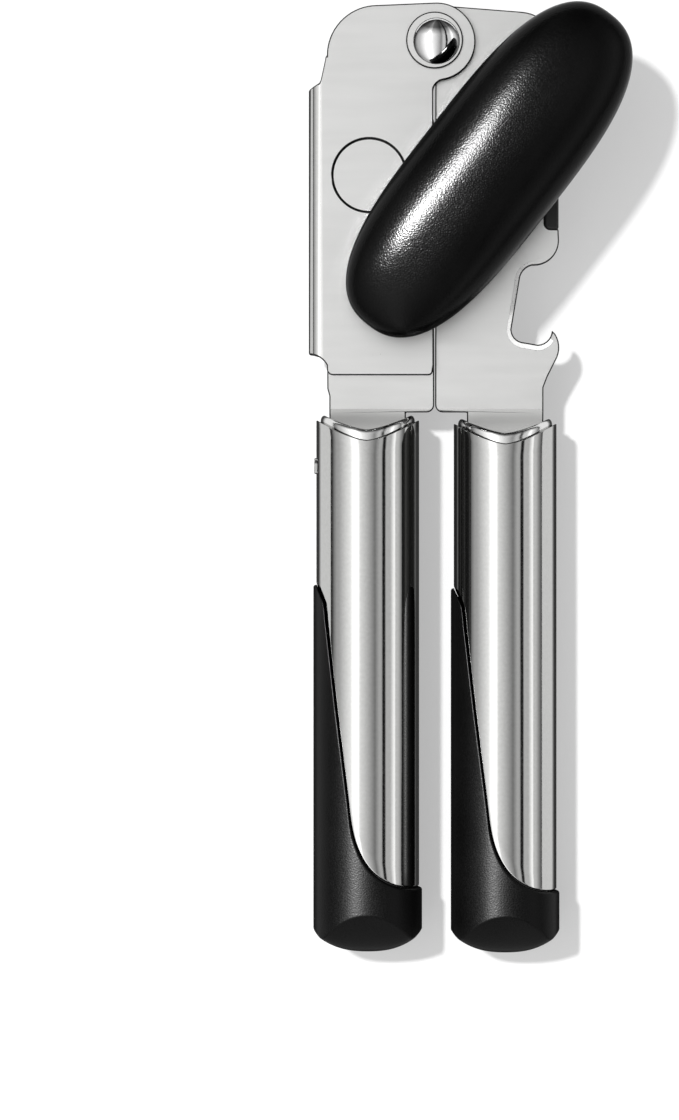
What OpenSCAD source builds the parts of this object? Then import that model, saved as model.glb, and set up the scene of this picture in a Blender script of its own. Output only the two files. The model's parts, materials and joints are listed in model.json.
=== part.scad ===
// Hand-held can opener: two stamped jaws hinged on a rivet, a feed wheel turned by a
// large knob, a free cutting wheel, a bottle-opener hook and two tubular handles.
// Millimetres, lying on its back with the knob up. +Y runs from the grips to the
// hinge and +Z is up. The origin is the centre of the bounding box on the resting plane.

/* [Plates] */
// Thickness of the stamped plates
plate_t = 1.8; // [1.5:0.1:2]
// Height of the underside of the lower plates at the head
plate_z = 10.9; // [10.6:0.1:11.2]
// Radius of the round lobe at the hinge
lobe_r = 7.8; // [7.4:0.1:8.2]
// Distance from the hinge to the bottom edge of the cutter plate
plate_bottom = 66.9; // [66:0.1:68]
// Depth of the bent flange on the cutter plate, from the plate's top
flange_depth = 8.1; // [5:0.1:9]
// Outer bend radius of that flange
flange_bend = 2.8; // [2.2:0.1:3]

/* [Hinge] */
// Radius of the hinge rivet's shank
rivet_r = 2.5; // [2:0.1:3]
// Radius of the rivet's domed head
rivet_head_r = 4.65; // [4:0.05:5]
// Height of the dome
rivet_head_h = 2; // [1.5:0.1:2.2]

/* [Wheels] */
// Distance below the hinge of the feed wheel's axis
feed_down = 26.5; // [26:0.1:28]
// Distance below the hinge of the cutting wheel's axis
cutter_down = 26.8; // [26:0.1:28]
// Distance of the feed wheel's axis to the right of the hinge
feed_x = 10.45; // [10:0.05:10.6]
// Distance of the cutting wheel's axis to the left of the hinge
cutter_x = 13.5; // [13.2:0.1:13.8]
// Tip radius of the feed wheel
feed_r = 12.4; // [12:0.05:12.5]
// Number of teeth on the feed wheel
feed_teeth = 24; // [18:1:30]
// Depth of the teeth
tooth_depth = 1.2; // [0.8:0.1:1.5]
// Radius of the cutting wheel
cutter_r = 11.95; // [11.6:0.05:12]
// Radius of the drive axle
axle_r = 3.5; // [3:0.1:4]
// Radius of the cutting wheel's stud
stud_r = 3; // [2.5:0.1:3.2]
// Radial running clearance of shafts in their holes
run_fit = 0.05; // [0.02:0.01:0.1]

/* [Knob] */
// Length of the knob
knob_l = 78; // [70:0.5:80]
// Width of the knob
knob_w = 28.6; // [26:0.1:30]
// Height from the knob's flat underside to its crown
knob_h = 16.8; // [15:0.1:18]
// Fullness of the knob's outline towards its tips, where 2 is an ellipse
tip_power = 3.2; // [2:0.1:4]
// Fullness of the knob's outline towards its sides, where 2 is an ellipse
side_power = 2.45; // [2:0.05:4]
// Angle of the knob as it is left at rest
knob_angle = 52; // [0:1:180]

/* [Handles] */
// Distance of the cutter handle's centre line to the left of the hinge
cutter_handle_x = 13.9; // [13.5:0.1:14.5]
// Distance of the drive handle's centre line to the right of the hinge
drive_handle_x = 13.8; // [13:0.1:14]
// How much lower the drive handle sits than the cutter handle
handle_shift = 0.7; // [0:0.1:1.5]
// Distance from the hinge to the cutter handle's mouth corners
mouth_down = 75.8; // [75:0.1:77]
// Length of the cutter handle from its mouth corners to the end of its grip
cutter_handle_l = 107.1; // [100:0.1:112]
// Length of the drive handle from its mouth corners to the end of its grip
drive_handle_l = 106.6; // [100:0.1:112]
// Half the width of the steel shell
shell_half_w = 10.35; // [9.5:0.05:11]
// Half the height of the steel shell
shell_half_h = 9.3; // [8.8:0.05:9.8]
// Wall of the steel shell
shell_t = 0.8; // [0.6:0.1:1]
// How far the rubber grip stands proud of the steel
grip_proud = 0.6; // [0.3:0.05:0.9]
// Width of the plate tangs inside the handles
tang_w = 15.4; // [14:0.1:15.6]
// Radius of the peg that locks the cutter handle
peg_r = 1.6; // [1.2:0.1:2]

/* [Hidden] */
$fn = 64;
eps = 0.01;

// Levels of the plates
plate_top = plate_z + plate_t;
sheet_gap = 0.1;
upper_z = plate_top + sheet_gap;
upper_top = upper_z + plate_t;
// Section of the handles: a lens between two cylinders, one above and one below
section_sum = pow(shell_half_w, 2) / shell_half_h;
shell_r = (shell_half_h + section_sum) / 2;
section_e = shell_r - shell_half_h;
grip_r = shell_r + grip_proud;
core_r = shell_r - shell_t - 0.06;
collar_t = 1.2;
handle_z = grip_r - section_e;
// The hinge in the part's frame
pivot_x = -6.3;
reach = mouth_down + handle_shift + drive_handle_l;
pivot_y = (reach - lobe_r) / 2;
// The cutting wheel's stud ends blind in the cutter plate
stud_top = upper_z + 0.9;
// Levels of the tangs after the joggle and inside the handles
joggle_top = 61;
joggle_bottom = 71;
dive_top = 74.5;
dive_bottom = 76.9;
joggle_drop = 1.3;
tang_top = handle_z + 0.6;
tang_end = 112;
shoulder_y = 74.3;
// Stack of washers and wheels under the plates
bush_flange_t = 1.2;
bush_r = 5;
bush_flange_r = 7;
bush_rise = 0.2;
turn_gap = 0.1;
feed_top = plate_z - bush_flange_t - turn_gap;
feed_t = 3.6;
feed_z = feed_top - feed_t;
nut_t = 2.8;
axle_end_z = feed_z - nut_t - 1.2;
nip_gap = 0.3;
cutter_t = 2.4;
cutter_top = feed_z - nip_gap;
cutter_z = cutter_top - cutter_t;
cutter_edge_t = 0.2;
washer_t = 0.6;
washer_z = cutter_z - turn_gap - washer_t;
// The knob above the rivet's dome
rivet_washer_t = 0.6;
rivet_top = upper_top + run_fit + rivet_washer_t + rivet_head_h;
knob_z = rivet_top + 0.5;
knob_wide = 6.7;
key_w = 11;
key_l = 38;
key_t = 2;
pocket_l = 54;
pocket_w = 15;
pocket_h = 8;
square_w = 5;
// The rim guide in the drive plate's edge
guide_x = 21.7;
guide_low = 37.5;
guide_high = 14;
edge_x = 24.5;

// Points along an arc from angle a to angle b
function arc(x, y, r, a, b, n = 12) =
    [for (i = [0:n]) let (t = a + (b - a) * i / n) [x + r * cos(t), y + r * sin(t)]];
// A point on a cubic Bezier curve
function bezier(p, t) =
    pow(1 - t, 3) * p[0] + 3 * t * pow(1 - t, 2) * p[1]
    + 3 * t * t * (1 - t) * p[2] + pow(t, 3) * p[3];
// An open line with each inner corner rounded over distance d on both sides of it
function soften(line, d, n = 4) =
    [line[0],
    for (i = [1:len(line) - 2]) let (
        back = (line[i - 1] - line[i]) / norm(line[i - 1] - line[i]) * d,
        ahead = (line[i + 1] - line[i]) / norm(line[i + 1] - line[i]) * d)
        for (k = [0:n]) let (t = k / n) line[i] + back * pow(1 - t, 2) + ahead * t * t,
    line[len(line) - 1]];
// A cosine or sine raised to a power with its sign kept
function power_of(v, p) = sign(v) * pow(abs(v), p);

// ---- sheet metal ----

// A bent sheet seen from the side, for a tang whose head underside is at height z
module bent_sheet(z, x0, x1) {
    head = z + plate_t;
    top = soften([[20, head], [-joggle_top, head], [-joggle_bottom, head - joggle_drop],
        [-dive_top, head - joggle_drop], [-dive_bottom, tang_top], [-tang_end, tang_top]], 0.9);
    under = [for (i = [len(top) - 1:-1:0]) top[i] - [0, plate_t]];
    translate([x0, 0, 0]) rotate([90, 0, 90])
        linear_extrude(height = x1 - x0) polygon(concat(top, under));
}

// Outline of the drive plate: hinge lobe, guide notch, bottle-opener hook, shoulder and tang
module drive_outline() {
    corner = [16.5, -1.8];
    left = drive_handle_x - tang_w / 2;
    right = drive_handle_x + tang_w / 2;
    polygon(concat(
        arc(0, 0, lobe_r - 0.3, 268, 87, 28),
        arc(corner[0], corner[1], 8, 86, 0),
        [[edge_x, -guide_high], [guide_x, -guide_high]],
        arc(guide_x + 1.2, -guide_low + 1.2, 1.2, 180, 270, 5),
        [[edge_x, -guide_low]],
        arc(19.6, -39.8, 5, 0, -90, 10),
        arc(19.9, -47.9, 3.2, 92, 176, 7),
        arc(17.7, -57.6, 2.65, 182, 268, 7),
        arc(20.2, -57.75, 2.98, 272, 358, 7),
        arc(19.5, -61.3, 5.15, 32, -22, 6),
        [[22.3, -67.2], [21.5, -69.3], [right, -72.1], [right, -tang_end],
            [left, -tang_end], [left, -shoulder_y]],
        arc(1.2, -shoulder_y + 1.5, 1.5, 270, 180, 6)));
}

module drive_plate() {
    color("silver") difference() {
        intersection() {
            linear_extrude(height = 30) drive_outline();
            bent_sheet(plate_z, -15, 30);
        }
        cylinder(r = rivet_r, h = 60, center = true);
        translate([feed_x, -feed_down, 0]) cylinder(r = bush_r, h = 60, center = true);
    }
}

// Flanged bronze bush that carries the axle in the drive plate
module axle_bushing() {
    color("peru") translate([feed_x, -feed_down, 0]) difference() {
        union() {
            translate([0, 0, plate_z - bush_flange_t]) cylinder(r = bush_flange_r, h = bush_flange_t);
            translate([0, 0, plate_z]) cylinder(r = bush_r, h = plate_t + bush_rise);
        }
        cylinder(r = axle_r + run_fit, h = 60, center = true);
    }
}

// Black pad set into the drive plate's edge, where a can's rim slides past
module rim_guide() {
    lip = 0.4;
    color([0.05, 0.05, 0.05]) translate([0, 0, plate_z - lip])
        linear_extrude(height = plate_t + 2 * lip)
        polygon(concat([[edge_x, -guide_high], [guide_x, -guide_high]],
            arc(guide_x + 1.2, -guide_low + 1.2, 1.2, 180, 270, 5), [[edge_x, -guide_low]]));
}

// ---- hinge ----

module pivot_rivet() {
    dome_r = (pow(rivet_head_r, 2) + pow(rivet_head_h, 2)) / (2 * rivet_head_h);
    head_z = rivet_top - rivet_head_h;
    tail_t = 1.1;
    tail_z = plate_z - washer_t - tail_t;
    color("gainsboro") {
        translate([0, 0, tail_z]) cylinder(r = rivet_r, h = head_z + 0.5 - tail_z);
        translate([0, 0, tail_z]) cylinder(r1 = 3.2, r2 = 4.1, h = tail_t);
        intersection() {
            translate([0, 0, rivet_top - dome_r]) sphere(r = dome_r);
            translate([0, 0, head_z]) cylinder(r = 6, h = 5);
        }
    }
}

// Loose washer that has slipped a little to one side under the rivet's head
module pivot_washer() {
    color("silver") translate([-0.4, 0.2, upper_top + run_fit])
        ring(5.7, rivet_r + 0.5, rivet_washer_t);
}

module pivot_back_washer() {
    color("silver") translate([0, 0, plate_z - washer_t]) ring(5.4, rivet_r, washer_t);
}

module ring(outer, inner, h) {
    difference() {
        cylinder(r = outer, h = h);
        translate([0, 0, -1]) cylinder(r = inner, h = h + 2);
    }
}

// ---- cutter jaw ----

// Outline of the upper plate without its flange
module cutter_outline() {
    edge = -22;
    gap_x = -0.7;
    fillet = 2.4;
    fillet_x = gap_x + fillet;
    fillet_y = -sqrt(pow(lobe_r + fillet, 2) - pow(fillet_x, 2));
    touch = atan2(fillet_y, fillet_x);
    polygon(concat(
        arc(-11.9, -2.8, 10.1, 180, 95, 16),
        arc(0, 0, lobe_r, 94, touch, 30),
        arc(fillet_x, fillet_y, fillet, touch + 180, 180, 8),
        arc(gap_x - 1, -plate_bottom + 1, 1, 0, -90, 5),
        arc(edge + 1.2, -plate_bottom + 1.2, 1.2, -90, -180, 5)));
}

// Bent tab along the cutter plate's left edge, with its slanted top and scooped bottom
module cutter_flange() {
    outer = -25.7;
    bend_x = outer + flange_bend;
    tab_low = 66.4;
    difference() {
        translate([0, -tab_low, 0]) rotate([90, 0, 0]) mirror([0, 0, 1])
            linear_extrude(height = tab_low - 3) {
                difference() {
                    translate([bend_x, upper_top - flange_bend]) circle(r = flange_bend);
                    translate([bend_x, upper_top - flange_bend]) circle(r = flange_bend - plate_t);
                    translate([bend_x, upper_top - 20]) square([20, 40]);
                    translate([outer - 1, upper_top - flange_bend - 20]) square([20, 20]);
                }
                translate([outer, upper_top - flange_depth])
                    square([plate_t, flange_depth - flange_bend + eps]);
                translate([bend_x - eps, upper_z]) square([1.5, plate_t]);
            }
        translate([0, 0, -1]) linear_extrude(height = 40)
            polygon([[-27, 0], [-22, 0], [-22.3, -3.5], [-23.2, -7.7], [-23.5, -8.3], [-27, -10.4]]);
        translate([outer, -plate_bottom, -1]) cylinder(r = 4.2, h = 40);
    }
}

module cutter_plate() {
    color("silver") difference() {
        union() {
            translate([0, 0, upper_z]) linear_extrude(height = plate_t) cutter_outline();
            cutter_flange();
        }
        cylinder(r = rivet_r + run_fit, h = 60, center = true);
        translate([-cutter_x, -cutter_down, upper_top - 0.4]) cylinder(r = 7.4, h = 5);
        translate([-cutter_x, -cutter_down, stud_top - 20]) cylinder(r = stud_r, h = 20);
    }
}

// Lower plate of the cutter jaw, whose tang runs into the handle
module cutter_tang() {
    left = -cutter_handle_x - tang_w / 2;
    right = -cutter_handle_x + tang_w / 2;
    color("silver") difference() {
        intersection() {
            linear_extrude(height = 30) polygon(concat(
                arc(-16, -18, 5.5, 180, 90, 8),
                arc(-4.5, -16.5, 4, 90, 0, 8),
                arc(-2, -shoulder_y + 1.5, 1.5, 0, -90, 6),
                [[right, -shoulder_y], [right, -tang_end], [left, -tang_end],
                    [left, -joggle_bottom], [-22, -joggle_bottom + 1.5], [-22, -24]]));
            bent_sheet(plate_z + sheet_gap, -30, 0);
        }
        translate([-cutter_x, -cutter_down, 0]) cylinder(r = stud_r, h = 60, center = true);
        on_handle(-cutter_handle_x, 0) peg_shape(peg_r);
    }
}

module cutter_stud() {
    head_h = washer_z;
    chamfer = 0.6;
    color("gainsboro") translate([-cutter_x, -cutter_down, 0]) {
        cylinder(r = stud_r, h = stud_top);
        cylinder(r1 = 4.6 - chamfer, r2 = 4.6, h = chamfer);
        translate([0, 0, chamfer]) cylinder(r = 4.6, h = head_h - chamfer);
    }
}

module cutter_spacer() {
    color("silver") translate([-cutter_x, -cutter_down, cutter_top + turn_gap])
        ring(5.8, stud_r, plate_z + sheet_gap - cutter_top - turn_gap);
}

module cutter_washer() {
    color("silver") translate([-cutter_x, -cutter_down, washer_z]) ring(5.4, stud_r, washer_t);
}

// Hardened disc whose rim tapers away below its cutting edge
module cutter_wheel() {
    color("lightgrey") translate([-cutter_x, -cutter_down, 0]) rotate_extrude()
        polygon([[stud_r + run_fit, cutter_z], [cutter_r - 3.2, cutter_z],
            [cutter_r, cutter_top - cutter_edge_t], [cutter_r, cutter_top],
            [stud_r + run_fit, cutter_top]]);
}

// ---- drive ----

module drive_axle() {
    color("silver") translate([feed_x, -feed_down, 0]) {
        translate([0, 0, feed_top]) cylinder(r = axle_r, h = knob_z + 1 - feed_top);
        translate([-square_w / 2, -square_w / 2, knob_z + 1])
            cube([square_w, square_w, key_t + 2.5]);
        translate([-square_w / 2, -square_w / 2, feed_z]) cube([square_w, square_w, feed_t]);
        translate([0, 0, axle_end_z]) cylinder(r = 2.5, h = feed_z - axle_end_z);
    }
}

module feed_wheel() {
    root = feed_r - tooth_depth;
    step = 360 / feed_teeth;
    points = [for (i = [0:feed_teeth - 1]) each [
        [root * cos(i * step), root * sin(i * step)],
        [feed_r * cos((i + 0.38) * step), feed_r * sin((i + 0.38) * step)],
        [feed_r * cos((i + 0.62) * step), feed_r * sin((i + 0.62) * step)]]];
    color("grey") translate([feed_x, -feed_down, feed_z]) difference() {
        linear_extrude(height = feed_t) polygon(points);
        translate([-square_w / 2, -square_w / 2, -1]) cube([square_w, square_w, feed_t + 2]);
    }
}

module axle_nut() {
    color("silver") translate([feed_x, -feed_down, feed_z - nut_t]) difference() {
        cylinder(r = 4.8, h = nut_t, $fn = 6);
        translate([0, 0, -1]) cylinder(r = 2.5, h = nut_t + 2);
    }
}

module knob_hub() {
    color([0.08, 0.08, 0.08]) translate([feed_x, -feed_down, plate_top + bush_rise + turn_gap])
        ring(7, axle_r, knob_z - plate_top - bush_rise - turn_gap);
}

// Knob pieces are drawn about the axle, with the knob's length along X
module on_knob() {
    translate([feed_x, -feed_down, knob_z]) rotate(knob_angle) children();
}

// Steel strip inside the knob that the axle's square end turns
module knob_key() {
    color("grey") on_knob() difference() {
        translate([-key_l / 2, -key_w / 2, 1]) cube([key_l, key_w, key_t]);
        rotate(-knob_angle) translate([-square_w / 2, -square_w / 2, 0])
            cube([square_w, square_w, 5]);
    }
}

module pocket() {
    hull_l = pocket_l - pocket_w;
    translate([-hull_l / 2, -pocket_w / 2, 0]) cube([hull_l, pocket_w, pocket_h]);
    for (side = [-1, 1])
        translate([side * hull_l / 2, 0, 0]) cylinder(r = pocket_w / 2, h = pocket_h);
}

module knob_core() {
    color([0.12, 0.12, 0.12]) difference() {
        on_knob() pocket();
        translate([feed_x, -feed_down, knob_z - 1]) cylinder(r = axle_r, h = 2);
        on_knob() translate([-key_l / 2, -key_w / 2, 1]) cube([key_l, key_w, key_t]);
        translate([feed_x - square_w / 2, -feed_down - square_w / 2, knob_z + 1])
            cube([square_w, square_w, key_t + 2.5]);
    }
}

// Crowned oval: each ring is the same superellipse, scaled as the side profile narrows
module knob_body() {
    around = 56;
    profile_power = 2.15;
    rise = knob_h - knob_wide;
    fall = knob_wide * 1.12;
    steps = concat([for (t = [-1:0.2:-0.01]) t], [for (t = [0:0.111:0.95]) t]);
    floor_angle = asin(pow(knob_wide / fall, profile_power / 2));
    rings = [for (t = steps) let (
        a = t < 0 ? t * floor_angle : t * 90,
        s = pow(cos(a), 2 / profile_power),
        z = t < 0 ? knob_wide + fall * power_of(sin(a), 2 / profile_power)
            : knob_wide + rise * pow(sin(a), 2 / profile_power))
        [for (i = [0:around - 1]) let (u = 360 * i / around) [
            knob_l / 2 * s * power_of(cos(u), 2 / tip_power),
            knob_w / 2 * s * power_of(sin(u), 2 / side_power), z]]];
    layers = len(rings);
    points = concat([for (r = rings) each r], [[0, 0, knob_h]]);
    sides = [for (k = [0:layers - 2]) for (i = [0:around - 1]) let (j = (i + 1) % around)
        each [[k * around + i, (k + 1) * around + i, (k + 1) * around + j],
            [k * around + i, (k + 1) * around + j, k * around + j]]];
    crown = [for (i = [0:around - 1]) [(layers - 1) * around + i, layers * around,
        (layers - 1) * around + (i + 1) % around]];
    base = [[for (i = [0:around - 1]) i]];
    polyhedron(points = points, faces = concat(sides, crown, base));
}

module knob_grip() {
    color([0.03, 0.03, 0.03]) on_knob() difference() {
        knob_body();
        translate([0, 0, -1]) pocket();
        translate([0, 0, 1]) pocket();
    }
}

// ---- handles ----

// A length of the handles' lens section with the given cylinder radius
module lens(r, y0, y1) {
    intersection() {
        translate([0, y1, section_e]) rotate([90, 0, 0]) cylinder(r = r, h = y1 - y0);
        translate([0, y1, -section_e]) rotate([90, 0, 0]) cylinder(r = r, h = y1 - y0);
    }
}

// Places a handle drawn about its own centre line, with Y measured from its mouth corners
module on_handle(x, shift) {
    translate([x, -mouth_down - shift, handle_z]) children();
}

// Everything above a rounded V across the mouth, to be cut away
module mouth_cut(half_w, depth, y = 0) {
    n = 16;
    v = [for (i = [0:n]) let (t = 2 * i / n - 1) [half_w * t, y - depth * (1 - pow(abs(t), 1.45))]];
    translate([0, 0, -30]) linear_extrude(height = 60)
        polygon(concat(v, [[half_w, 30], [-half_w, 30]]));
}

// The side of the handle that the rubber takes: a long tongue that sweeps into the end cap
module rubber_side() {
    left = -shell_half_w;
    turn = [[left + 6.7, -77.2], [left + 7.3, -86.2], [left + 10.8, -93.6], [shell_half_w, -94]];
    sweep = [for (i = [0:12]) bezier(turn, i / 12)];
    translate([0, 0, -30]) linear_extrude(height = 60) polygon(concat(
        [[left - 5, -33.1], [left, -33.1], [left + 1.6, -36.5], [left + 4, -56.6]],
        sweep, [[shell_half_w + 5, -94], [shell_half_w + 5, -120], [left - 5, -120]]));
}

module peg_shape(r) {
    translate([-shell_half_w - 0.4, -9.3, -0.3]) rotate([0, 90, 0]) cylinder(r = r, h = 5);
}

module handle_shell(pegged) {
    color("gainsboro") difference() {
        lens(shell_r, -100, 0);
        lens(shell_r - shell_t, -101, 1);
        mouth_cut(shell_half_w + eps, 4.1);
        rubber_side();
        if (pegged) peg_shape(peg_r);
    }
}

module handle_collar() {
    inner_half = shell_half_w - 0.9;
    color("silver") difference() {
        lens(core_r, -7.4, 3);
        lens(core_r - collar_t, -8, 4);
        mouth_cut(inner_half + eps, 2.6, 0.5);
    }
}

module handle_core(pegged) {
    slot = 0.1;
    color([0.1, 0.1, 0.1]) difference() {
        lens(core_r, -99.5, -7.5);
        translate([-tang_w / 2 - slot, -40, tang_top - plate_t - slot - handle_z])
            cube([tang_w + 2 * slot, 45, plate_t + 2 * slot]);
        if (pegged) peg_shape(peg_r);
    }
}

// Side view of the space beyond the grip's end, which slopes back from a blunt tip
module nose_cut(end_y) {
    half = 12;
    blunt = 5;
    slope = 1.4;
    edge = [for (z = [-half:1:half]) [end_y + slope * (sqrt(z * z + blunt * blunt) - blunt), z]];
    translate([-20, 0, 0]) rotate([90, 0, 90]) linear_extrude(height = 40)
        polygon(concat(edge, [[end_y - 8, half], [end_y - 8, -half]]));
}

module handle_grip(handle_l) {
    end_r = 14.7;
    end_y = -handle_l;
    color([0.04, 0.04, 0.04]) difference() {
        intersection() {
            lens(grip_r, end_y - 1, -20);
            rubber_side();
        }
        lens(core_r, -99.6, -10);
        difference() {
            translate([-20, end_y - 5, -20]) cube([40, 5 + end_r, 40]);
            translate([0, end_y + end_r, -21]) cylinder(r = end_r, h = 42);
        }
        nose_cut(end_y);
    }
}

module drive_handle_shell() { on_handle(drive_handle_x, handle_shift) handle_shell(false); }
module drive_handle_collar() { on_handle(drive_handle_x, handle_shift) handle_collar(); }
module drive_handle_core() { on_handle(drive_handle_x, handle_shift) handle_core(false); }
module drive_handle_grip() { on_handle(drive_handle_x, handle_shift) handle_grip(drive_handle_l); }
module cutter_handle_shell() { on_handle(-cutter_handle_x, 0) handle_shell(true); }
module cutter_handle_collar() { on_handle(-cutter_handle_x, 0) handle_collar(); }
module cutter_handle_core() { on_handle(-cutter_handle_x, 0) handle_core(true); }
module cutter_handle_grip() { on_handle(-cutter_handle_x, 0) handle_grip(cutter_handle_l); }
module cutter_handle_peg() { on_handle(-cutter_handle_x, 0) color("silver") peg_shape(peg_r); }

translate([pivot_x, pivot_y, 0]) {
    drive_plate();
    axle_bushing();
    rim_guide();
    pivot_rivet();
    pivot_washer();
    pivot_back_washer();
    drive_handle_shell();
    drive_handle_collar();
    drive_handle_core();
    drive_handle_grip();
    cutter_plate();
    cutter_tang();
    cutter_stud();
    cutter_spacer();
    cutter_washer();
    cutter_handle_shell();
    cutter_handle_collar();
    cutter_handle_core();
    cutter_handle_grip();
    cutter_handle_peg();
    cutter_wheel();
    drive_axle();
    feed_wheel();
    axle_nut();
    knob_hub();
    knob_key();
    knob_core();
    knob_grip();
}
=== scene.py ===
"""Looks for a hand-held can opener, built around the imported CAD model. Metres."""

import json
import math

import bmesh
import bpy
from mathutils import Matrix, Vector

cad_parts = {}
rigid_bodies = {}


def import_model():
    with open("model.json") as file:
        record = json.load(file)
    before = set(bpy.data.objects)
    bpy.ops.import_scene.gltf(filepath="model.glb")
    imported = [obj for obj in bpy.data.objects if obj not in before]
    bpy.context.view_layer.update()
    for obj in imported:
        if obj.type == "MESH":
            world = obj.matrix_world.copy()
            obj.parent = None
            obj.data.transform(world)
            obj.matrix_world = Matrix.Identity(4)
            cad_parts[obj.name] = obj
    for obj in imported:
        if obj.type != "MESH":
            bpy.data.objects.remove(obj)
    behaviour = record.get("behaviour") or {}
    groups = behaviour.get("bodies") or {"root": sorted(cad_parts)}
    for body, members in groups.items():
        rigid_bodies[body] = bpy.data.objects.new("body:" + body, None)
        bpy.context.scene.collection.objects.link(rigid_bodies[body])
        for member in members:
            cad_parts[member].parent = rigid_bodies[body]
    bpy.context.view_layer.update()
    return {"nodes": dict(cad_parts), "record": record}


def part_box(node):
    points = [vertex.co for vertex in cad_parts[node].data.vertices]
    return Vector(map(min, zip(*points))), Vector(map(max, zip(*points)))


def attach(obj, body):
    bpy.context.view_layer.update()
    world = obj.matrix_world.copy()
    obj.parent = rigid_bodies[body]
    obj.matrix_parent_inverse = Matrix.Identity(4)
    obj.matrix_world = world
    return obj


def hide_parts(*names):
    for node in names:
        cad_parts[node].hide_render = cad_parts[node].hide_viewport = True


MM = 0.001

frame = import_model()
NODES = frame["nodes"]


# ---- places and sizes, from the frame ----

def centre(node):
    """Middle of a CAD node's box."""
    low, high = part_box(node)
    return (low + high) / 2


SHELL_LOW, SHELL_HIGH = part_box("cutter_handle_shell")
HALF_W = (SHELL_HIGH.x - SHELL_LOW.x) / 2
HALF_H = (SHELL_HIGH.z - SHELL_LOW.z) / 2
HANDLE_Z = (SHELL_HIGH.z + SHELL_LOW.z) / 2
# The handles' section is a lens between two cylinders of radius SECTION_R, with their axes
# SECTION_E above and below its middle
SECTION_R = (HALF_H + HALF_W**2 / HALF_H) / 2
SECTION_E = SECTION_R - HALF_H
SHELL_T = 0.8 * MM
GRIP_PROUD = 0.6 * MM
CORE_GAP = 0.06 * MM
CORE_R = SECTION_R - SHELL_T - CORE_GAP
GRIP_BORE_R = CORE_R + 0.02 * MM
COLLAR_T = 1.2 * MM
# The gap that each side leaves between the steel's edge and the rubber's
SEAM_GAP = 0.12 * MM

PIVOT = centre("pivot_rivet")
AXLE = centre("axle_bushing")
# Where the tangs leave the plates, just above the handles' mouths
TANG_Y = PIVOT.y - 73.3 * MM
KNOB_LOW, KNOB_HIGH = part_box("knob_grip")
KNOB_ANGLE = math.radians(52)
KNOB_HALF_L = 39 * MM
KNOB_HALF_W = 14.3 * MM
KNOB_TIP_POWER = 3.2
KNOB_SIDE_POWER = 2.45
KNOB_SECTION_POWER = 2.15
# Height of the knob's widest line above its underside
KNOB_WIDE_Z = 6.7 * MM
KNOB_POCKET_HALF_L = 27.05 * MM
KNOB_POCKET_R = 7.55 * MM
KNOB_POCKET_DEPTH = 9 * MM


# ---- mesh helpers ----

def new_object(name, mesh):
    piece = bpy.data.objects.new(name, mesh)
    bpy.context.scene.collection.objects.link(piece)
    return piece


def smooth(mesh, angle=35):
    """Smooth shading that breaks where two faces meet at more than the angle."""
    mesh.polygons.foreach_set("use_smooth", [True] * len(mesh.polygons))
    mesh.set_sharp_from_angle(angle=math.radians(angle))


def from_bmesh(name, bm, angle=35):
    bmesh.ops.recalc_face_normals(bm, faces=bm.faces)
    mesh = bpy.data.meshes.new(name)
    bm.to_mesh(mesh)
    bm.free()
    smooth(mesh, angle)
    return new_object(name, mesh)


def loft(name, rings, pole_start=None, pole_end=None, closed_loop=False, angle=35, crease=None):
    """A skin over rings of equal length, ended by poles or joined back to the first ring.
    crease is (ring index, bevel weight) for the ring that a bevel modifier rounds."""
    bm = bmesh.new()
    layers = [[bm.verts.new(p) for p in ring] for ring in rings]
    count = len(rings[0])
    spans = len(layers) if closed_loop else len(layers) - 1
    for k in range(spans):
        a = layers[k]
        b = layers[(k + 1) % len(layers)]
        for i in range(count):
            j = (i + 1) % count
            bm.faces.new((a[i], a[j], b[j], b[i]))
    for pole, layer in ((pole_start, layers[0]), (pole_end, layers[-1])):
        if pole is None:
            continue
        tip = bm.verts.new(pole)
        for i in range(count):
            bm.faces.new((tip, layer[i], layer[(i + 1) % count]))
    if crease is not None:
        weights = bm.edges.layers.float.new("bevel_weight_edge")
        layer = layers[crease[0]]
        for i in range(count):
            edge = bm.edges.get((layer[i], layer[(i + 1) % count]))
            edge[weights] = crease[1]
    return from_bmesh(name, bm, angle)


def add_bevel(piece, width, segments=3, method="ANGLE", angle=30, material=-1, clamp=True):
    bevel = piece.modifiers.new("edges", "BEVEL")
    bevel.material = material
    bevel.width = width
    bevel.segments = segments
    bevel.limit_method = method
    bevel.angle_limit = math.radians(angle)
    bevel.harden_normals = False
    bevel.use_clamp_overlap = clamp
    weighted = piece.modifiers.new("normals", "WEIGHTED_NORMAL")
    weighted.keep_sharp = True
    weighted.weight = 80
    return piece


def cad_copy(node, name, corner_gap=0.0):
    """A clean copy of a CAD node's mesh, with its flat faces whole again.
    Upright corners closer together than corner_gap become one."""
    bm = bmesh.new()
    bm.from_mesh(NODES[node].data)
    bmesh.ops.remove_doubles(bm, verts=bm.verts, dist=0.002 * MM)
    bmesh.ops.dissolve_limit(bm, angle_limit=math.radians(0.5), verts=bm.verts, edges=bm.edges)
    if corner_gap:
        upright = [edge for edge in bm.edges if abs(edge.verts[0].co.z - edge.verts[1].co.z) > 1.5 * MM]
        corners = list({vert for edge in upright for vert in edge.verts})
        bmesh.ops.remove_doubles(bm, verts=corners, dist=corner_gap)
    return from_bmesh(name, bm)


def place(piece, body, node, material):
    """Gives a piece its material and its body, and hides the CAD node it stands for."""
    piece.data.materials.clear()
    piece.data.materials.append(material)
    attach(piece, body)
    if node:
        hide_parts(node)


def paint(piece, material, test):
    """Gives the faces that pass the test a material of their own."""
    piece.data.materials.append(material)
    index = len(piece.data.materials) - 1
    for face in piece.data.polygons:
        if test(face):
            face.material_index = index


def body_of(node):
    bodies = frame["record"]["behaviour"]["bodies"]
    return next(body for body, members in bodies.items() if node in members)


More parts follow.
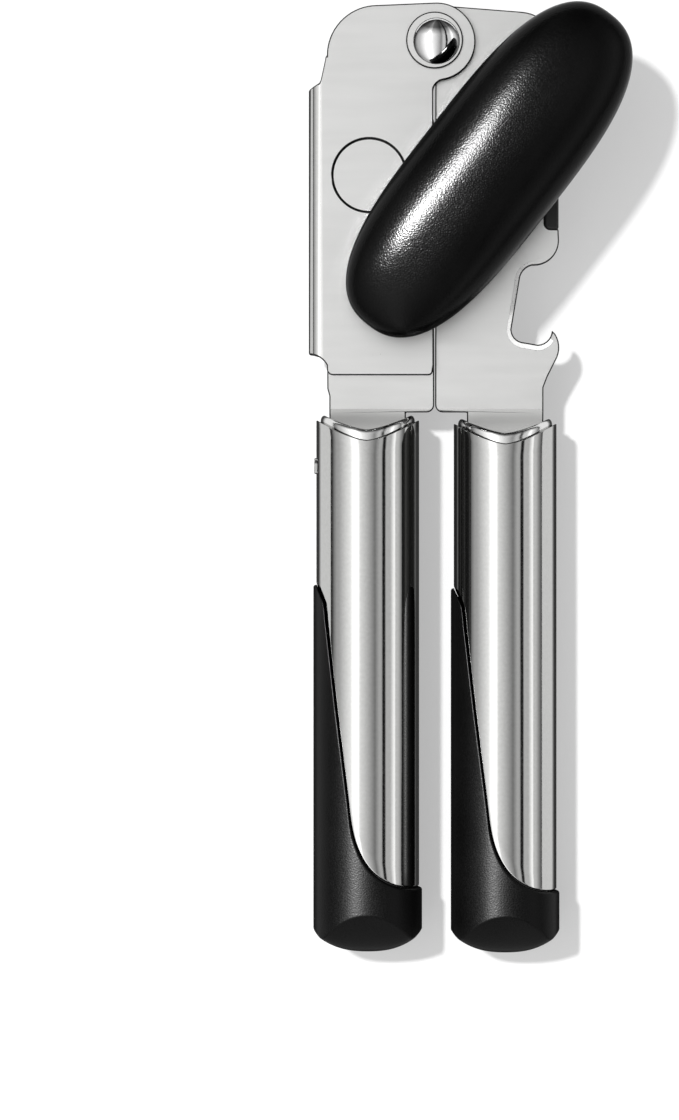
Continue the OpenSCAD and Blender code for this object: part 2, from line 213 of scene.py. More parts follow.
def slot_of(node):
    parts = frame["record"]["subparts"]
    return next(p["material_slot"] for p in parts if p["node"] == node)


# ---- material helpers ----

def map_range(tree, value, low, high, to_low, to_high):
    """Maps low..high of a value onto to_low..to_high."""
    node = tree.nodes.new("ShaderNodeMapRange")
    node.inputs["From Min"].default_value = low
    node.inputs["From Max"].default_value = high
    node.inputs["To Min"].default_value = to_low
    node.inputs["To Max"].default_value = to_high
    tree.links.new(value, node.inputs["Value"])
    return node.outputs["Result"]


def combine(tree, operation, a, b):
    """A Math node over two values, each a socket or a plain number."""
    node = tree.nodes.new("ShaderNodeMath")
    node.operation = operation
    for socket, value in zip(node.inputs, (a, b)):
        if isinstance(value, (int, float)):
            socket.default_value = value
        else:
            tree.links.new(value, socket)
    return node.outputs[0]


class Nodes:
    """Short calls for building one material's node tree."""

    def __init__(self, name, colour, metallic, roughness):
        self.material = bpy.data.materials.new(name)
        self.material.use_nodes = True
        self.material.diffuse_color = (*colour, 1)
        self.tree = self.material.node_tree
        self.shader = self.tree.nodes["Principled BSDF"]
        self.shader.inputs["Base Color"].default_value = (*colour, 1)
        self.shader.inputs["Metallic"].default_value = metallic
        self.shader.inputs["Roughness"].default_value = roughness
        self.place = self.tree.nodes.new("ShaderNodeTexCoord").outputs["Object"]

    def link(self, a, b):
        self.tree.links.new(a, b)

    def noise(self, scale, detail=2.0, stretch=(1, 1, 1), roughness=0.5):
        mapping = self.tree.nodes.new("ShaderNodeMapping")
        mapping.inputs["Scale"].default_value = stretch
        self.link(self.place, mapping.inputs["Vector"])
        texture = self.tree.nodes.new("ShaderNodeTexNoise")
        texture.inputs["Scale"].default_value = scale
        texture.inputs["Detail"].default_value = detail
        texture.inputs["Roughness"].default_value = roughness
        self.link(mapping.outputs["Vector"], texture.inputs["Vector"])
        return texture.outputs["Fac"]

    def remap(self, value, low, high, to_low, to_high):
        return map_range(self.tree, value, low, high, to_low, to_high)

    def math(self, operation, a, b):
        return combine(self.tree, operation, a, b)

    def mix_colour(self, factor, a, b):
        node = self.tree.nodes.new("ShaderNodeMix")
        node.data_type = "RGBA"
        node.inputs["A"].default_value = (*a, 1)
        node.inputs["B"].default_value = (*b, 1)
        self.link(factor, node.inputs["Factor"])
        self.link(node.outputs["Result"], self.shader.inputs["Base Color"])

    def bump(self, height, strength, distance):
        node = self.tree.nodes.new("ShaderNodeBump")
        node.inputs["Strength"].default_value = strength
        node.inputs["Distance"].default_value = distance
        self.link(height, node.inputs["Height"])
        self.link(node.outputs["Normal"], self.shader.inputs["Normal"])


def satin_steel():
    """Tumbled stainless sheet: even, fine, slightly blotchy, with faint rolling streaks."""
    m = Nodes("satin_steel", (0.87, 0.87, 0.86), 1.0, 0.34)
    blotch = m.noise(45, 3)
    streak = m.noise(500, 3, (0.12, 1, 1))
    grain = m.noise(2600, 3, (1, 0.35, 1))
    tone = m.math("ADD", m.math("MULTIPLY", blotch, 0.6), m.math("MULTIPLY", streak, 0.4))
    m.mix_colour(m.remap(tone, 0.35, 0.65, 0, 1), (0.84, 0.84, 0.83), (0.90, 0.90, 0.89))
    rough = m.math("ADD", m.remap(grain, 0.3, 0.7, 0.30, 0.40), m.remap(streak, 0.3, 0.7, -0.03, 0.04))
    m.link(rough, m.shader.inputs["Roughness"])
    m.bump(grain, 0.12, 0.03 * MM)
    return m.material


def polished_shell():
    """Handle tube, polished with fine lines along its length."""
    m = Nodes("polished_shell", (0.62, 0.62, 0.61), 1.0, 0.07)
    lines = m.noise(3000, 3, (1, 0.02, 1))
    speckle = m.noise(1500, 3)
    m.mix_colour(m.remap(speckle, 0.3, 0.7, 0, 1), (0.60, 0.60, 0.59), (0.64, 0.64, 0.63))
    rough = m.math("ADD", m.remap(lines, 0.3, 0.7, 0.05, 0.08), m.remap(speckle, 0.35, 0.7, -0.01, 0.03))
    m.link(rough, m.shader.inputs["Roughness"])
    m.bump(m.math("ADD", lines, m.math("MULTIPLY", speckle, 0.6)), 0.06, 0.02 * MM)
    return m.material


def bright_lip():
    m = Nodes("bright_lip", (0.88, 0.88, 0.87), 1.0, 0.14)
    scuff = m.noise(1200, 4)
    m.link(m.remap(scuff, 0.3, 0.75, 0.08, 0.24), m.shader.inputs["Roughness"])
    m.bump(scuff, 0.10, 0.02 * MM)
    return m.material


def mirror_chrome():
    m = Nodes("mirror_chrome", (0.90, 0.90, 0.90), 1.0, 0.06)
    dents = m.noise(330, 2)
    fine = m.noise(2200, 2)
    m.link(m.remap(fine, 0.35, 0.7, 0.04, 0.10), m.shader.inputs["Roughness"])
    m.bump(m.math("ADD", dents, m.math("MULTIPLY", fine, 0.05)), 0.35, 0.12 * MM)
    return m.material


def hard_steel():
    """Hardened, ground wheels and the drive's plain steel."""
    m = Nodes("hard_steel", (0.48, 0.47, 0.46), 1.0, 0.35)
    stain = m.noise(160, 4)
    grind = m.noise(2400, 2)
    m.mix_colour(m.remap(stain, 0.3, 0.7, 0, 1), (0.38, 0.37, 0.36), (0.56, 0.55, 0.54))
    m.link(m.remap(grind, 0.3, 0.7, 0.26, 0.44), m.shader.inputs["Roughness"])
    m.bump(grind, 0.15, 0.03 * MM)
    return m.material


def bush_bronze():
    m = Nodes("bush_bronze", (0.55, 0.36, 0.17), 1.0, 0.38)
    tarnish = m.noise(220, 4)
    m.mix_colour(m.remap(tarnish, 0.3, 0.7, 0, 1), (0.42, 0.27, 0.13), (0.62, 0.42, 0.20))
    m.link(m.remap(tarnish, 0.3, 0.7, 0.3, 0.48), m.shader.inputs["Roughness"])
    m.bump(m.noise(1800, 2), 0.1, 0.03 * MM)
    return m.material


def soft_touch(name, smooth_spots, rough_spots, relief):
    """Soft black rubber with a fine moulded texture that breaks highlights into grain."""
    m = Nodes(name, (0.0015, 0.0015, 0.0015), 0.0, (smooth_spots + rough_spots) / 2)
    grain = m.noise(4300, 1)
    haze = m.noise(60, 3)
    m.mix_colour(m.remap(haze, 0.3, 0.7, 0, 1), (0.001, 0.001, 0.001), (0.002, 0.002, 0.002))
    spots = m.remap(grain, 0.4, 0.6, smooth_spots, rough_spots)
    m.link(m.math("ADD", spots, m.remap(haze, 0.3, 0.7, -0.01, 0.01)), m.shader.inputs["Roughness"])
    m.shader.inputs["Specular IOR Level"].default_value = 0.08
    m.bump(m.noise(3300, 0), 1.0, relief * MM)
    return m.material


def hard_black():
    """Moulded nylon with a spark-eroded surface."""
    m = Nodes("hard_black", (0.014, 0.014, 0.014), 0.0, 0.5)
    pits = m.noise(3200, 3)
    m.mix_colour(m.remap(m.noise(90, 3), 0.3, 0.7, 0, 1), (0.011, 0.011, 0.011), (0.018, 0.018, 0.018))
    m.link(m.remap(pits, 0.3, 0.7, 0.42, 0.6), m.shader.inputs["Roughness"])
    m.bump(pits, 0.3, 0.03 * MM)
    return m.material


def sheared_edge_and_painted_outline():
    """The cut side of a stamped sheet, dark and torn fine across its thickness; on the sheets' rounded
    edges and the flange's steep bend the same dark is painted shade, a drawn dark outline.
    """
    m = Nodes("sheared_edge_and_painted_outline", (0.045, 0.045, 0.045), 1.0, 0.45)
    tear = m.noise(1500, 3, (1, 1, 0.15))
    m.mix_colour(m.remap(tear, 0.3, 0.7, 0, 1), (0.025, 0.025, 0.025), (0.065, 0.065, 0.065))
    m.link(m.remap(tear, 0.3, 0.7, 0.38, 0.55), m.shader.inputs["Roughness"])
    m.bump(tear, 0.2, 0.03 * MM)
    return m.material


def notch_band_painted_highlight():
    """Pressed band round the bottle notch, whiter and less metallic than the sheet beside it so the key
    lamp whitens it: a painted highlight for the notch's rolled edge.
    """
    m = Nodes("notch_band_painted_highlight", (0.92, 0.92, 0.91), 0.65, 0.3)
    scuff = m.noise(1600, 3)
    m.mix_colour(m.remap(scuff, 0.3, 0.7, 0, 1), (0.86, 0.86, 0.85), (0.95, 0.95, 0.94))
    m.link(m.remap(scuff, 0.3, 0.7, 0.24, 0.36), m.shader.inputs["Roughness"])
    m.bump(scuff, 0.1, 0.02 * MM)
    return m.material


def tang_steel_painted_shade():
    """Sheet at the handles' mouths, darker and duller than the plates: painted shade where the tangs run
    in under the collars' lips.
    """
    m = Nodes("tang_steel_painted_shade", (0.30, 0.30, 0.295), 0.25, 0.5)
    film = m.noise(60, 3, (0.3, 1, 1))
    m.mix_colour(m.remap(film, 0.3, 0.7, 0, 1), (0.25, 0.25, 0.245), (0.35, 0.35, 0.345))
    m.link(m.remap(film, 0.3, 0.7, 0.42, 0.58), m.shader.inputs["Roughness"])
    m.bump(m.noise(2400, 2), 0.1, 0.03 * MM)
    return m.material


SATIN = satin_steel()
# Cut sides of the sheets, made darker still as painted shade for the sheets' dark outlines
CUT_SIDE_AND_OUTLINE_SHADE = sheared_edge_and_painted_outline()
# Painted shade for the tangs at the handles' mouths
TANG_PAINTED_SHADE = tang_steel_painted_shade()
# Painted highlight for the band round the bottle notch
NOTCH_PAINTED_HIGHLIGHT = notch_band_painted_highlight()
SHELL = polished_shell()
LIP = bright_lip()
CHROME = mirror_chrome()
HARD = hard_steel()
BRONZE = bush_bronze()
RUBBER = soft_touch("soft_touch", 0.15, 0.25, 0.03)
GRIP = soft_touch("soft_touch_grip", 0.30, 0.42, 0.02)
NYLON = hard_black()
FINISH = {
    "plate_steel": SATIN,
    "shell_steel": SHELL,
    "collar_steel": LIP,
    "rivet_chrome": CHROME,
    "wheel_steel": HARD,
    "bush_bronze": BRONZE,
    "black_nylon": NYLON,
    "black_rubber": RUBBER,
}


# ---- handles ----

AROUND = 180
MOUTH_POWER = 1.45
# Limits to how far a rounded edge is drawn out where it runs aslant
EDGE_STRETCH = 6
LIP_STRETCH = 1.6


def section(r):
    """Points (x, z) round the handles' lens section, for a cylinder radius r."""
    corner = math.asin(SECTION_E / r)
    points = []
    for i in range(AROUND):
        t = i / AROUND * 2
        upper = t < 1
        a = corner + (math.pi - 2 * corner) * (t if upper else t - 1)
        x = r * math.cos(a)
        z = r * math.sin(a) - SECTION_E
        points.append((x, z) if upper else (-x, -z))
    return points


def across(x):
    """Place across the handle, from 0 at the left steel edge to the full width at the right."""
    return min(max(x + HALF_W, 0.0), 2 * HALF_W)


def mouth_y(x, depth, start=0.0):
    """Rounded V across the mouth, in metres from the mouth corners."""
    t = min(abs(x) / HALF_W, 1)
    return start - depth * (1 - t**MOUTH_POWER)


def bezier(p, t):
    """The point at t on the cubic curve over four control points."""
    s = 1 - t
    return p[0] * s**3 + 3 * p[1] * t * s * s + 3 * p[2] * t * t * s + p[3] * t**3


def sweep_line():
    """The rubber's edge across the steel, as points (across, y) with the turn into the end cap."""
    turn = [Vector((6.7, -77.2)), Vector((7.3, -86.2)), Vector((10.8, -93.6)), Vector((20.7, -94))]
    start = [Vector((0, -33.1)), Vector((1.6, -36.5)), Vector((4.0, -56.6))]
    steps = 24
    points = start + [bezier(turn, i / steps) for i in range(steps + 1)]
    return [p * MM for p in points]


SWEEP = sweep_line()


def sweep_y(x):
    """Y of the rubber's edge at a place across the handle."""
    u = across(x)
    for a, b in zip(SWEEP, SWEEP[1:]):
        if u <= b.x:
            return a.y + (b.y - a.y) * (u - a.x) / (b.x - a.x)
    return SWEEP[-1].y


def stretch(edge_y, r):
    """How much longer each column's step along Y is, to round an edge that runs aslant to it."""
    points = section(r)
    out = []
    for i in range(len(points)):
        xa, za = points[i - 1]
        xb, zb = points[(i + 1) % len(points)]
        run = max(math.hypot(xb - xa, zb - za), 1e-7)
        out.append(math.sqrt(1 + ((edge_y(xb) - edge_y(xa)) / run) ** 2))
    return [min(s, EDGE_STRETCH) for s in out]


def ring_at(r, ys, at):
    """A ring of the section at radius r, with its own Y for each column."""
    return [at + Vector((x, y, z)) for (x, z), y in zip(section(r), ys)]


def edge_ys(edge_y, r, step, scale):
    """Y of each column on an edge, moved along Y by its scaled step."""
    return [edge_y(x) + step * s for (x, z), s in zip(section(r), scale)]


def rolled(edge_y, r_out, r_in, round_r, into, at, segments=5):
    """Rings that take a wall from its inner face over a rounded edge to its outer face.
    into is +1 where the wall lies on the +Y side of its edge and -1 where it lies below."""
    scale = stretch(edge_y, r_out)
    rings = [ring_at(r_in, edge_ys(edge_y, r_in, 0, scale), at)]
    for k in range(segments + 1):
        a = math.pi / 2 * k / segments
        step = into * round_r * (1 - math.cos(a))
        r = r_out - round_r + round_r * math.sin(a)
        rings.append(ring_at(r, edge_ys(edge_y, r, step, scale), at))
    return rings


def between(first, last, count):
    """Rings spaced evenly between two rings, without the ends."""
    return [[a.lerp(b, k / (count + 1)) for a, b in zip(first, last)] for k in range(1, count + 1)]


def handle_shell(name, at):
    """Steel tube from its V mouth down to the rubber's edge."""
    depth = 4.1 * MM
    mouth_round = 0.3 * MM
    sweep_round = 0.4 * MM
    bore_r = CORE_R + CORE_GAP
    mouth = rolled(lambda x: mouth_y(x, depth), SECTION_R, bore_r, mouth_round, -1, at)
    sweep = rolled(lambda x: sweep_y(x) + SEAM_GAP, SECTION_R, bore_r, sweep_round, 1, at)
    outer = between(mouth[-1], sweep[-1], 30)
    return loft(name, mouth + outer + sweep[::-1], closed_loop=True)


def handle_collar(name, at):
    """Tube whose mouth edge rolls inwards as a fat bright lip."""
    start = 0.9 * MM
    depth = 2.9 * MM
    roll = 1.15 * MM
    flatness = 0.62
    inner = CORE_R - COLLAR_T * 1.18
    back = [-7.4 * MM] * AROUND
    steps = 12

    def lip(x):
        return mouth_y(x * HALF_W / CORE_R, depth, start)

    scale = [min(s, LIP_STRETCH) for s in stretch(lip, CORE_R)]
    rings = [ring_at(CORE_R, back, at)]
    rings.append(ring_at(CORE_R, edge_ys(lip, CORE_R, -2.2 * roll, scale), at))
    for k in range(steps + 1):
        a = math.pi * k / steps
        r = CORE_R - roll * (1 - math.cos(a)) * flatness
        rings.append(ring_at(r, edge_ys(lip, CORE_R, roll * (math.sin(a) - 1), scale), at))
    rings.append(ring_at(inner, edge_ys(lip, CORE_R, -2.6 * roll, scale), at))
    rings.append(ring_at(inner, back, at))
    return loft(name, rings, closed_loop=True)


END_R = 14.7 * MM
NOSE_BLUNT = 5 * MM
NOSE_SLOPE = 1.4


def end_y(x, z):
    """The grip's end from its tip: an arc seen from above, met by a slope seen from the side."""
    plan = END_R - math.sqrt(max(END_R**2 - x * x, 0))
    side = NOSE_SLOPE * (math.sqrt(z * z + NOSE_BLUNT**2) - NOSE_BLUNT)
    soft = 0.5 * MM
    blend = soft * math.log(math.exp(min(plan / soft, 60)) + math.exp(min(side / soft, 60)))
    low = soft * math.log(2)
    return max(blend - low, 0)


def handle_grip(name, at, end):
    """Rubber tongue and end cap, hollow where the core sits."""
    r = SECTION_R + GRIP_PROUD
    edge_round = 0.5 * MM
    rim_round = 0.9 * MM
    floor_y = -99.6 * MM
    steps = 22
    roll = rolled(lambda x: sweep_y(x) - SEAM_GAP, r, GRIP_BORE_R, edge_round, -1, at, 6)
    rim = ring_at(r, [end + end_y(x, z) for x, z in section(r)], at)
    wall = between(roll[-1], rim, 26)
    dome = []
    for k in range(1, steps):
        s = 1 - k / steps
        dome.append([at + Vector((x * s, end + end_y(x * s, z * s), z * s)) for x, z in section(r)])
    cavity = ring_at(GRIP_BORE_R, [floor_y] * AROUND, at)
    rings = [cavity] + roll + wall + [rim] + dome
    rim_index = 1 + len(roll) + len(wall)
    piece = loft(name, rings, at + Vector((0, floor_y, 0)), at + Vector((0, end, 0)),
                 crease=(rim_index, 1.0), angle=60)
    return add_bevel(piece, rim_round, 5, "WEIGHT")


def build_handle(side):
    """The tube, lip and grip of one jaw's handle."""
    shell_low, shell_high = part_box(side + "_handle_shell")
    at = Vector(((shell_low.x + shell_high.x) / 2, shell_high.y, HANDLE_Z))
    body = body_of(side + "_handle_shell")
    grip_node = side + "_handle_grip"
    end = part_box(grip_node)[0].y - at.y
    skins = {
        side + "_handle_shell": (handle_shell(side + "_handle_shell_skin", at), SHELL),
        side + "_handle_collar": (handle_collar(side + "_handle_collar_skin", at), LIP),
        grip_node: (handle_grip(side + "_handle_grip_skin", at, end), GRIP),
    }
    for node, (piece, material) in skins.items():
        place(piece, body, node, material)


# ---- plates ----

SHEET_T = 1.8 * MM
SHEET_EDGE = 0.26 * MM
# Corners of an outline nearer than this are one corner
OUTLINE_KINK = 0.24 * MM


def sheared(mesh, face):
    """Whether a face is the cut side of a sheet: upright, and no wider than the sheet is thick."""
    corners = [mesh.vertices[i].co for i in face.vertices]
    perimeter = sum((a - b).length for a, b in zip(corners, corners[1:] + corners[:1]))
    return abs(face.normal.z) < 0.01 and 2 * face.area / perimeter < SHEET_T + 0.1 * MM


def build_sheet(node):
    """A stamped piece: satin faces, darker sheared sides, and rounded edges painted dark as an outline
    of painted shade.
    """
    source = cad_copy(node, node + "_sheet", OUTLINE_KINK)
    place(source, body_of(node), node, SATIN)
    # The sheared sides: their own dark steel, darkened further as painted shade
    paint(source, CUT_SIDE_AND_OUTLINE_SHADE, lambda face: sheared(source.data, face))
    if node in ("drive_plate", "cutter_tang"):
        # Painted shade: the tangs' upper faces at the handles' mouths take the darker, duller finish
        paint(source, TANG_PAINTED_SHADE, lambda face: face.normal.z > 0.1 and face.center.y < TANG_Y)
    # On the bent flange the outside of the bend is polished and bright, and where it turns upright it is
    # painted dark, a painted dark reflection
    if node == "cutter_plate":
        paint(source, SHELL, lambda face: face.normal.x < -0.1 and face.normal.z > 0.5)
        paint(source, CUT_SIDE_AND_OUTLINE_SHADE, lambda face: face.normal.x < -0.5 and 0.03 < face.normal.z < 0.5)
    # The rounded edges take slot 1, the dark cut-side material: painted shade that draws a dark outline
    add_bevel(source, SHEET_EDGE, 3, "ANGLE", 40, 1, False)


def build_coining():
    """A pressed band that follows the bottle notch, widest along its bottom, bright with a painted
    highlight.
    """
    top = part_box("drive_plate")[1].z
    inset = 0.28
    steps = 8
    inner_top = Vector((0, 0, top + 0.02 * MM))
    outer_top = Vector((0, 0, top + 0.12 * MM))
    below = Vector((0, 0, top - 0.5 * MM))
    # Centre x and y from the pivot, radius, first and last angle, first and last width
    arcs = (
        (19.9, -47.9, 3.2, 96, 176, 0.45, 0.65),
        (17.7, -57.6, 2.65, 182, 268, 0.65, 0.9),
        (20.2, -57.75, 2.98, 272, 326, 0.9, 0.7),
    )
    rings = []
    for x, y, r, first, last, wide_first, wide_last in arcs:
        middle = Vector((PIVOT.x, PIVOT.y, 0)) + Vector((x, y, 0)) * MM
        for k in range(steps + 1):
            t = k / steps
            a = math.radians(first + (last - first) * t)
            wide = wide_first + (wide_last - wide_first) * t
            out = Vector((math.cos(a), math.sin(a), 0))
            near = middle + out * (r + inset) * MM
            far = middle + out * (r + inset + wide) * MM
            foot = far + out * 0.16 * MM
            rings.append([near + inner_top, far + outer_top, foot + below, near + below])
    ends = [sum(ring, Vector()) / len(ring) for ring in (rings[0], rings[-1])]
    piece = loft("notch_coining", rings, ends[0], ends[1])
    # Its whiter finish is a painted highlight
    place(piece, body_of("drive_plate"), None, NOTCH_PAINTED_HIGHLIGHT)


# ---- small turned and cut parts ----

def build_small(node, width):
    """A turned or cut piece with its edges broken by a bevel, in mm."""
    piece = cad_copy(node, node + "_detail")
    add_bevel(piece, width * MM, 3, "ANGLE", 40)
    place(piece, body_of(node), node, FINISH[slot_of(node)])


# ---- knob ----

def superellipse(a, b, n):
    """The knob's outline, blunter at its tips than along its sides."""
    out = []
    for i in range(n):
        u = 2 * math.pi * i / n
        c = math.cos(u)
        s = math.sin(u)
        x = math.copysign(abs(c) ** (2 / KNOB_TIP_POWER), c) * a
        y = math.copysign(abs(s) ** (2 / KNOB_SIDE_POWER), s) * b
        out.append((x, y))
    return out


def stadium(half_l, r, n):
    """An oblong outline sampled at the same angles as the knob's outline."""
    out = []
    straight = half_l - r
    reach = 1.25
    for i in range(n):
        u = 2 * math.pi * i / n
        c = math.cos(u)
        s = math.sin(u)
        x = max(min(c * half_l * reach, straight), -straight) + r * c
        out.append((x, r * s))
    return out


def build_knob():
    """One smooth moulded body, open underneath where its core sits."""
    n = 160
    height = KNOB_HIGH.z - KNOB_LOW.z
    fall = KNOB_WIDE_Z * 1.12
    start = math.asin((KNOB_WIDE_Z / fall) ** (KNOB_SECTION_POWER / 2))
    power = 2 / KNOB_SECTION_POWER
    below = 14
    above = 30
    turn = Matrix.Rotation(KNOB_ANGLE, 3, "Z")
    at = Vector((AXLE.x, AXLE.y, KNOB_LOW.z))

    def ring(outline, scale, z):
        return [at + turn @ Vector((x * scale, y * scale, z)) for x, y in outline]

    outline = superellipse(KNOB_HALF_L, KNOB_HALF_W, n)
    hole = stadium(KNOB_POCKET_HALF_L, KNOB_POCKET_R, n)
    rings = [ring(hole, 1, KNOB_POCKET_DEPTH), ring(hole, 1, 0.5 * MM), ring(hole, 1.03, 0)]
    for k in range(below, 0, -1):
        a = start * k / below
        z = KNOB_WIDE_Z - fall * math.sin(a) ** power
        rings.append(ring(outline, math.cos(a) ** power, z))
    rings.append(ring(outline, 1, KNOB_WIDE_Z))
    for k in range(1, above):
        a = math.pi / 2 * k / above
        z = KNOB_WIDE_Z + (height - KNOB_WIDE_Z) * math.sin(a) ** power
        rings.append(ring(outline, math.cos(a) ** power, z))
    floor = at + Vector((0, 0, KNOB_POCKET_DEPTH))
    crown = at + Vector((0, 0, height))
    piece = loft("knob_soft_body", rings, floor, crown)
    place(piece, "drive", "knob_grip", RUBBER)


# ---- rivet ----

def build_rivet():
    """Domed head with a rolled edge on a shank, peened below."""
    low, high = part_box("pivot_rivet")
    head_r = (high.x - low.x) / 2
    washer_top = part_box("pivot_washer")[1].z
    head_h = high.z - washer_top
    dome_r = (head_r**2 + head_h**2) / (2 * head_h)
    n = 72
    steps = 16
    rolled_r = head_r * 0.985
    shank_r = 2.5 * MM
    tail_z = low.z + 1.1 * MM
    profile = []
    for k in range(1, steps + 1):
        a = math.asin(rolled_r / dome_r) * k / steps
        profile.append((dome_r * math.sin(a), high.z - dome_r * (1 - math.cos(a))))
    profile += [(head_r, washer_top + 0.12 * MM), (rolled_r, washer_top)]
    profile += [(shank_r, washer_top), (shank_r, tail_z)]
    profile += [(4.1 * MM, tail_z), (4.15 * MM, low.z + 0.9 * MM)]
    profile += [(3.6 * MM, low.z + 0.25 * MM), (2.9 * MM, low.z)]
    middle = Vector((PIVOT.x, PIVOT.y, 0))
    turns = [2 * math.pi * i / n for i in range(n)]
    rings = [[middle + Vector((r * math.cos(u), r * math.sin(u), z)) for u in turns] for r, z in profile]
    crown = middle + Vector((0, 0, high.z))
    tail = middle + Vector((0, 0, low.z))
    piece = loft("pivot_rivet_dome", rings, crown, tail)
    place(piece, body_of("pivot_rivet"), "pivot_rivet", CHROME)


# ---- build ----

for jaw in ("drive", "cutter"):
    build_handle(jaw)
for sheet in ("drive_plate", "cutter_plate", "cutter_tang", "pivot_washer", "pivot_back_washer"):
    build_sheet(sheet)
build_coining()
for small, bevel_mm in (
    ("axle_bushing", 0.2), ("rim_guide", 0.35),
    ("cutter_stud", 0.2), ("cutter_spacer", 0.2), ("cutter_washer", 0.12), ("cutter_wheel", 0.06),
    ("drive_axle", 0.2), ("feed_wheel", 0.12), ("axle_nut", 0.25), ("knob_hub", 0.3),
    ("knob_core", 0.3), ("cutter_handle_peg", 0.2),
):
    build_small(small, bevel_mm)
build_knob()
build_rivet()
for hidden in ("knob_key", "drive_handle_core", "cutter_handle_core"):
    NODES[hidden].data.materials.clear()
    NODES[hidden].data.materials.append(FINISH[slot_of(hidden)])


# ---- stage ----

def build_floor():
    """Pale, slightly luminous paper under the object."""
    bm = bmesh.new()
    bmesh.ops.create_grid(bm, x_segments=1, y_segments=1, size=3)
    mesh = bpy.data.meshes.new("floor")
    bm.to_mesh(mesh)
    bm.free()
    floor = new_object("floor", mesh)
    floor.location.z = -0.02 * MM
    paper = Nodes("light_table", (0.33, 0.33, 0.33), 0.0, 0.9)
    fleck = paper.noise(400, 3)
    paper.mix_colour(paper.remap(fleck, 0.3, 0.7, 0, 1), (0.327, 0.327, 0.327), (0.333, 0.333, 0.333))
    paper.shader.inputs["Emission Color"].default_value = (1, 1, 1, 1)
    paper.shader.inputs["Emission Strength"].default_value = 0.42
    paper.shader.inputs["Specular IOR Level"].default_value = 0.0
    # Staged, not physical: a reflection that meets the floor from close by sees it darker than the
    # camera does. The two distances were tuned for the dark edges of the handles.
    path = paper.tree.nodes.new("ShaderNodeLightPath")
    shade = paper.remap(path.outputs["Ray Length"], 16 * MM, 22 * MM, 0.95, 0.25)
    black = paper.tree.nodes.new("ShaderNodeEmission")
    black.inputs["Strength"].default_value = 0
    both = paper.tree.nodes.new("ShaderNodeMixShader")
    paper.link(paper.math("MULTIPLY", path.outputs["Is Glossy Ray"], shade), both.inputs[0])
    paper.link(paper.shader.outputs[0], both.inputs[1])
    paper.link(black.outputs[0], both.inputs[2])
    paper.link(both.outputs[0], paper.tree.nodes["Material Output"].inputs["Surface"])
    mesh.materials.append(paper.material)


# The studio seen by polished metal. Each panel is first and last degree to the right of overhead,
# and its brightness at each; between panels the light fades evenly from one to the next. The
# values come from the brightness measured across the handles in the photograph, divided by the
# steel's reflectance, thinned out and rounded. They aren't an independent light set-up.
PANELS = (
    (-86, -80, 0.1, 0.45),  # dark horizon on the left
    (-66, -38, 0.55, 1.25),  # wall that brightens towards the softbox
    (-30, -21, 2.1, 2.1),  # softbox high on the left
    (-16, 17, 1.1, 0.25),  # ceiling
    (27, 33, 0.6, 0.55),  # first panel on the right
    (34, 40, 0.01, 0.01),  # dark gap
    (42, 53, 0.65, 0.65),  # second panel on the right
    (63, 66, 1.6, 0.8),  # bright strip
    (76, 92, 0.7, 0.35),  # wall that fades to the right
)
PANEL_PEAK = 2.5


def panel_light(tree, direction):
    """Colour of the studio by the direction's turn about Y, from PANELS."""
    turn = combine(tree, "ARCTAN2", direction.outputs["X"], direction.outputs["Z"])
    ramp = tree.nodes.new("ShaderNodeValToRGB")
    tree.links.new(map_range(tree, turn, -math.pi, math.pi, 0, 1), ramp.inputs[0])
    stops = ramp.color_ramp.elements
    while len(stops) > 1:
        stops.remove(stops[-1])
    stops[0].position = 0
    for first, last, level_first, level_last in PANELS:
        for degrees, level in ((first, level_first), (last, level_last)):
            grey = level / PANEL_PEAK
            stops.new((degrees + 180) / 360).color = (grey, grey, grey, 1)
    stops.remove(stops[0])
    return ramp.outputs["Color"]


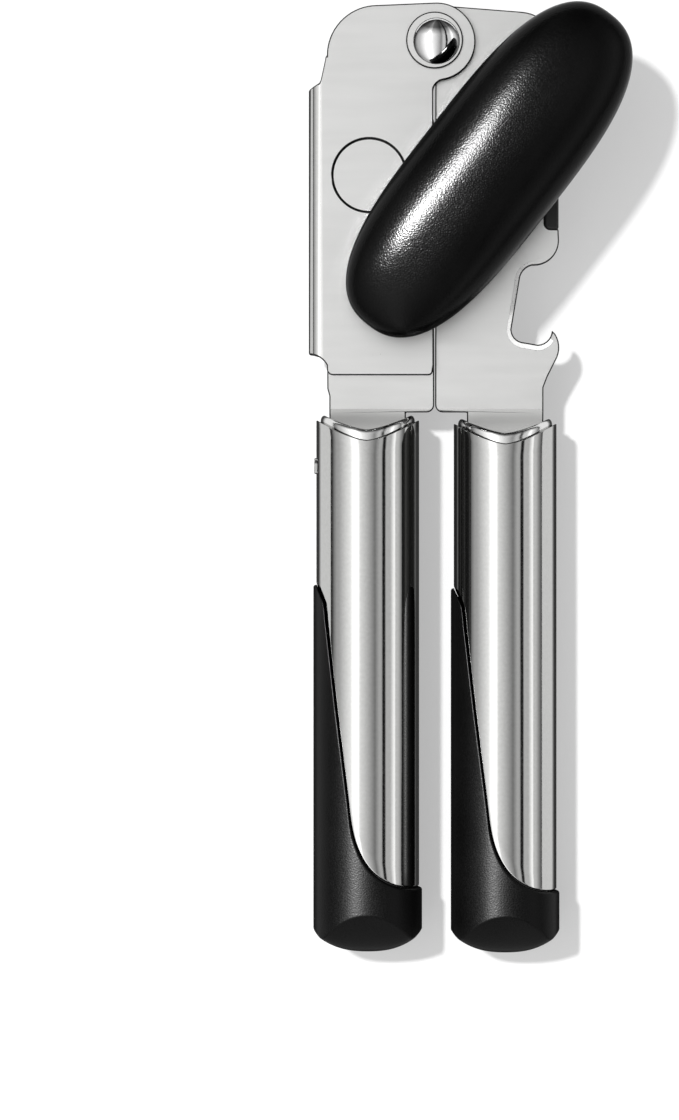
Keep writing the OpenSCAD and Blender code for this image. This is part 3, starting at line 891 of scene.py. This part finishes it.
def build_world():
    """Studio light for reflections, and a plain white backdrop for the camera."""
    world = bpy.data.worlds.new("studio")
    world.use_nodes = True
    tree = world.node_tree
    link = tree.links.new
    direction = tree.nodes.new("ShaderNodeSeparateXYZ")
    link(tree.nodes.new("ShaderNodeTexCoord").outputs["Generated"], direction.inputs[0])
    # Dimmer near the horizon and behind the object, and lifted in front of it
    low = map_range(tree, direction.outputs["Z"], 0.05, 0.3, 0.3 * PANEL_PEAK, PANEL_PEAK)
    back = map_range(tree, direction.outputs["Y"], 0.45, 0.8, 1, 0.12)
    front = map_range(tree, direction.outputs["Y"], -0.3, -0.8, 0, 0.8 * PANEL_PEAK)
    lift = combine(tree, "MAXIMUM", combine(tree, "MULTIPLY", low, back), front)
    # Staged, not physical: nearly dark from the second reflection on
    path = tree.nodes.new("ShaderNodeLightPath")
    again = map_range(tree, path.outputs["Glossy Depth"], 1, 2, 1, 0.05)
    background = tree.nodes["Background"]
    link(panel_light(tree, direction), background.inputs["Color"])
    link(combine(tree, "MULTIPLY", lift, again), background.inputs["Strength"])
    backdrop = tree.nodes.new("ShaderNodeBackground")
    backdrop.inputs["Color"].default_value = (1, 1, 1, 1)
    seen = tree.nodes.new("ShaderNodeMixShader")
    link(path.outputs["Is Camera Ray"], seen.inputs[0])
    link(background.outputs[0], seen.inputs[1])
    link(backdrop.outputs[0], seen.inputs[2])
    link(seen.outputs[0], tree.nodes["World Output"].inputs["Surface"])
    bpy.context.scene.world = world


def sun_light(name, energy, spread, towards):
    data = bpy.data.lights.new(name, "SUN")
    data.energy = energy
    data.angle = math.radians(spread)
    lamp = bpy.data.objects.new(name, data)
    bpy.context.scene.collection.objects.link(lamp)
    lamp.rotation_euler = Vector(towards).to_track_quat("-Z", "Y").to_euler()
    return lamp


def build_light():
    """A key sun that casts the shadows, and two suns that only put gloss on the rubber."""
    build_world()
    key = sun_light("key", 5.1, 4, (4.9, -3.9, -12.0))
    # Staged, not physical: unseen in reflections, so the metal shows no shadow of the knob
    key.visible_glossy = False
    near = sun_light("key_gloss", 17.0, 11, (5.6, -1.8, -12.0))
    far = sun_light("fill_gloss", 11.0, 14, (4.7, -4.4, -12.0))
    soft = bpy.data.collections.new("soft_goods")
    for piece in bpy.context.scene.objects:
        if piece.type == "MESH" and piece.data.materials[:1] in ([RUBBER], [GRIP]):
            soft.objects.link(piece)
    for gloss in (near, far):
        gloss.visible_diffuse = False
        gloss.light_linking.receiver_collection = soft


def build_camera():
    """Looks straight down on the upper part of the handles, shifted to frame the whole object."""
    data = bpy.data.cameras.new("camera")
    camera = bpy.data.objects.new("camera", data)
    bpy.context.scene.collection.objects.link(camera)
    distance = 0.76
    # Height above the floor at which the frame's long side spans view_height
    level = 0.012
    view_height = 225.171 * MM
    data.sensor_width = 36
    data.lens = distance * data.sensor_width / view_height
    camera.location = (PIVOT.x + 2.7 * MM, PIVOT.y - 87.1 * MM, distance + level)
    data.shift_x = -0.0987
    data.shift_y = -0.075
    data.clip_start = 0.01
    bpy.context.scene.camera = camera


build_floor()
build_light()
build_camera()
bpy.context.scene.view_settings.view_transform = "Standard"
